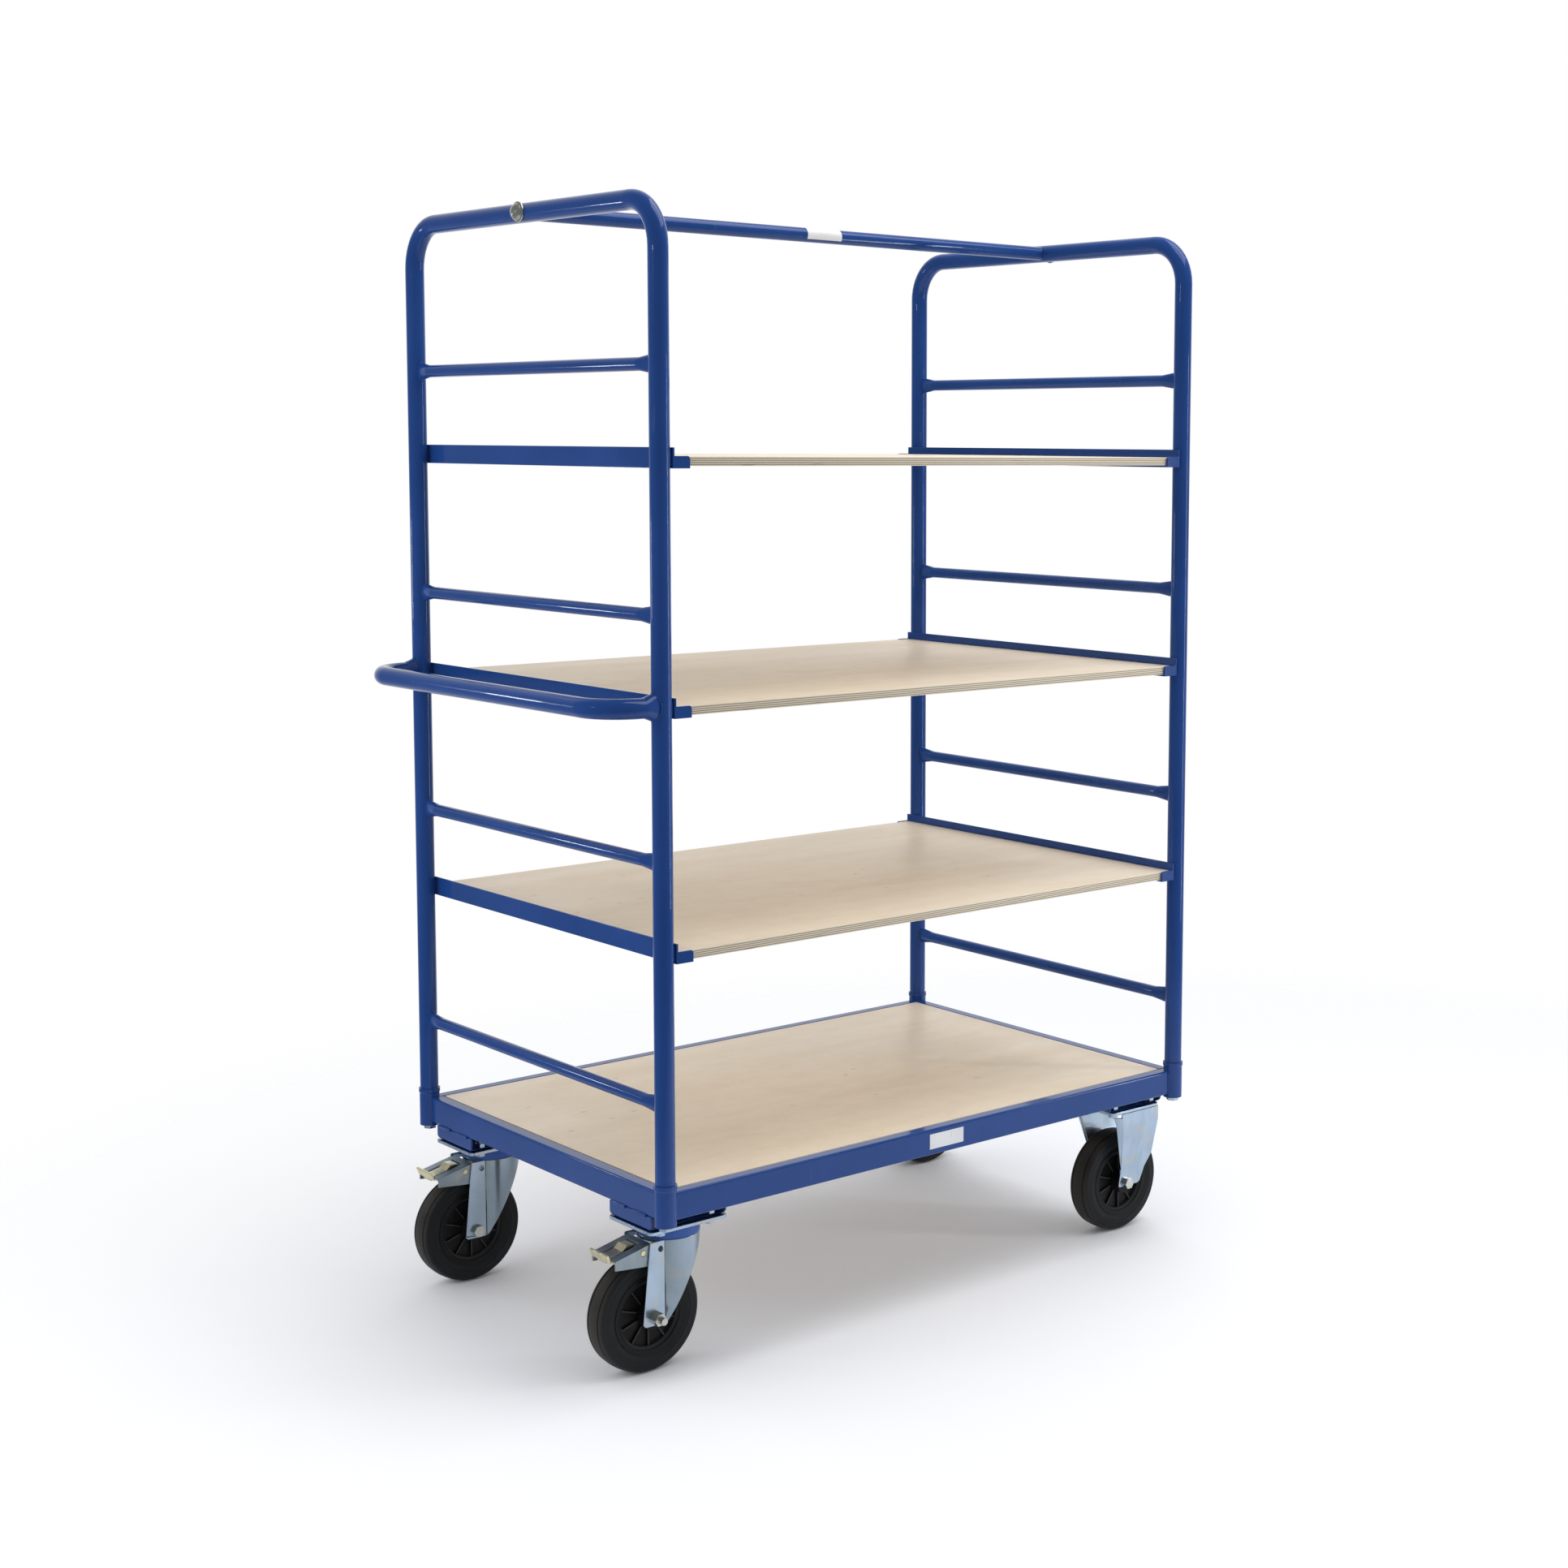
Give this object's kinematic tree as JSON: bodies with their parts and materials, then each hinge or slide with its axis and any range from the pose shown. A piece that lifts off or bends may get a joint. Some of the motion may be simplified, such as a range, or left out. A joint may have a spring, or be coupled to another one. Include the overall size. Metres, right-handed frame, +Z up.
{
  "type": "shelf trolley",
  "caption": "Tall shelf trolley: tube end frames on a caster base, plywood deck and lift-out shelves, push handle, braked swivel casters and fixed casters.",
  "frame": {"origin": "on the floor, under the middle of the trolley's bounding box", "axes": "+Z up, +X away from the handle end, +Y to the left of the person pushing"},
  "size_m": [1.0844, 0.6614, 1.572],
  "materials": {
    "blue_coat": "glossy blue powder coat",
    "zinc": "bright zinc plate",
    "yellow_zinc": "yellow zinc plate",
    "plywood": "clear-sealed birch plywood",
    "tyre_rubber": "matt black rubber",
    "rim_plastic": "satin black plastic",
    "seal_plastic": "satin blue plastic"
  },
  "bodies": {
    "frame": {"side_rail_right": "blue_coat", "side_rail_left": "blue_coat", "end_rail_rear": "blue_coat", "end_rail_front": "blue_coat", "socket_rear_right": "blue_coat", "socket_rear_left": "blue_coat", "socket_front_right": "blue_coat", "socket_front_left": "blue_coat", "cross_member_rear": "blue_coat", "cross_member_middle": "blue_coat", "cross_member_front": "blue_coat", "caster_bracket_rear_right": "blue_coat", "caster_bracket_rear_left": "blue_coat", "caster_bracket_front_right": "blue_coat", "caster_bracket_front_left": "blue_coat", "end_frame_rear": "blue_coat", "end_frame_front": "blue_coat", "rungs_rear": "blue_coat", "rungs_front": "blue_coat", "shelf_rail_rear_1": "blue_coat", "shelf_rail_rear_2": "blue_coat", "shelf_rail_rear_3": "blue_coat", "shelf_rail_front_1": "blue_coat", "shelf_rail_front_2": "blue_coat", "shelf_rail_front_3": "blue_coat", "push_handle": "blue_coat", "top_bar": "blue_coat", "deck_board": "plywood", "top_bar_bolts": "zinc", "socket_bolts": "zinc", "caster_bolts": "zinc", "swivel_plate_rear_right": "zinc", "swivel_plate_rear_left": "zinc", "kingpin_rear_right": "zinc", "kingpin_rear_left": "zinc", "fixed_fork_front_right": "zinc", "fixed_fork_front_left": "zinc", "axle_front_right": "zinc", "axle_front_left": "zinc"},
    "lower_shelf": {"lower_shelf": "plywood"},
    "middle_shelf": {"middle_shelf": "plywood"},
    "upper_shelf": {"upper_shelf": "plywood"},
    "swivel_right": {"swivel_seal_rear_right": "seal_plastic", "swivel_fork_rear_right": "zinc", "brake_housing_rear_right": "zinc", "axle_rear_right": "zinc"},
    "brake_right": {"brake_pedal_rear_right": "yellow_zinc"},
    "swivel_left": {"swivel_seal_rear_left": "seal_plastic", "swivel_fork_rear_left": "zinc", "brake_housing_rear_left": "zinc", "axle_rear_left": "zinc"},
    "brake_left": {"brake_pedal_rear_left": "yellow_zinc"},
    "wheel_rear_right": {"rim_rear_right": "rim_plastic", "tyre_rear_right": "tyre_rubber"},
    "wheel_rear_left": {"rim_rear_left": "rim_plastic", "tyre_rear_left": "tyre_rubber"},
    "wheel_front_right": {"rim_front_right": "rim_plastic", "tyre_front_right": "tyre_rubber"},
    "wheel_front_left": {"rim_front_left": "rim_plastic", "tyre_front_left": "tyre_rubber"}
  },
  "joints": [
    {"name": "lower_shelf_lift", "type": "slide", "parent": "frame", "child": "lower_shelf", "axis": [0, 0, 1], "range_m": [0, 0.3]},
    {"name": "middle_shelf_lift", "type": "slide", "parent": "frame", "child": "middle_shelf", "axis": [0, 0, 1], "range_m": [0, 0.3]},
    {"name": "upper_shelf_lift", "type": "slide", "parent": "frame", "child": "upper_shelf", "axis": [0, 0, 1], "range_m": [0, 0.3]},
    {"name": "swivel_right", "type": "hinge", "parent": "frame", "child": "swivel_right", "pos_m": [-0.38777, -0.236, 0.185], "axis": [0, 0, 1], "continuous": true},
    {"name": "wheel_rear_right", "type": "hinge", "parent": "swivel_right", "child": "wheel_rear_right", "pos_m": [-0.42978, -0.236, 0.08], "axis": [0, 1, 0], "continuous": true},
    {"name": "brake_right", "type": "hinge", "parent": "swivel_right", "child": "brake_right", "pos_m": [-0.44677, -0.236, 0.172], "axis": [0, -1, 0], "range_deg": [0, 14]},
    {"name": "swivel_left", "type": "hinge", "parent": "frame", "child": "swivel_left", "pos_m": [-0.38777, 0.236, 0.185], "axis": [0, 0, 1], "continuous": true},
    {"name": "wheel_rear_left", "type": "hinge", "parent": "swivel_left", "child": "wheel_rear_left", "pos_m": [-0.42978, 0.236, 0.08], "axis": [0, 1, 0], "continuous": true},
    {"name": "brake_left", "type": "hinge", "parent": "swivel_left", "child": "brake_left", "pos_m": [-0.44677, 0.236, 0.172], "axis": [0, -1, 0], "range_deg": [0, 14]},
    {"name": "wheel_front_right", "type": "hinge", "parent": "frame", "child": "wheel_front_right", "pos_m": [0.46222, -0.236, 0.08], "axis": [0, 1, 0], "continuous": true},
    {"name": "wheel_front_left", "type": "hinge", "parent": "frame", "child": "wheel_front_left", "pos_m": [0.46222, 0.236, 0.08], "axis": [0, 1, 0], "continuous": true}
  ]
}
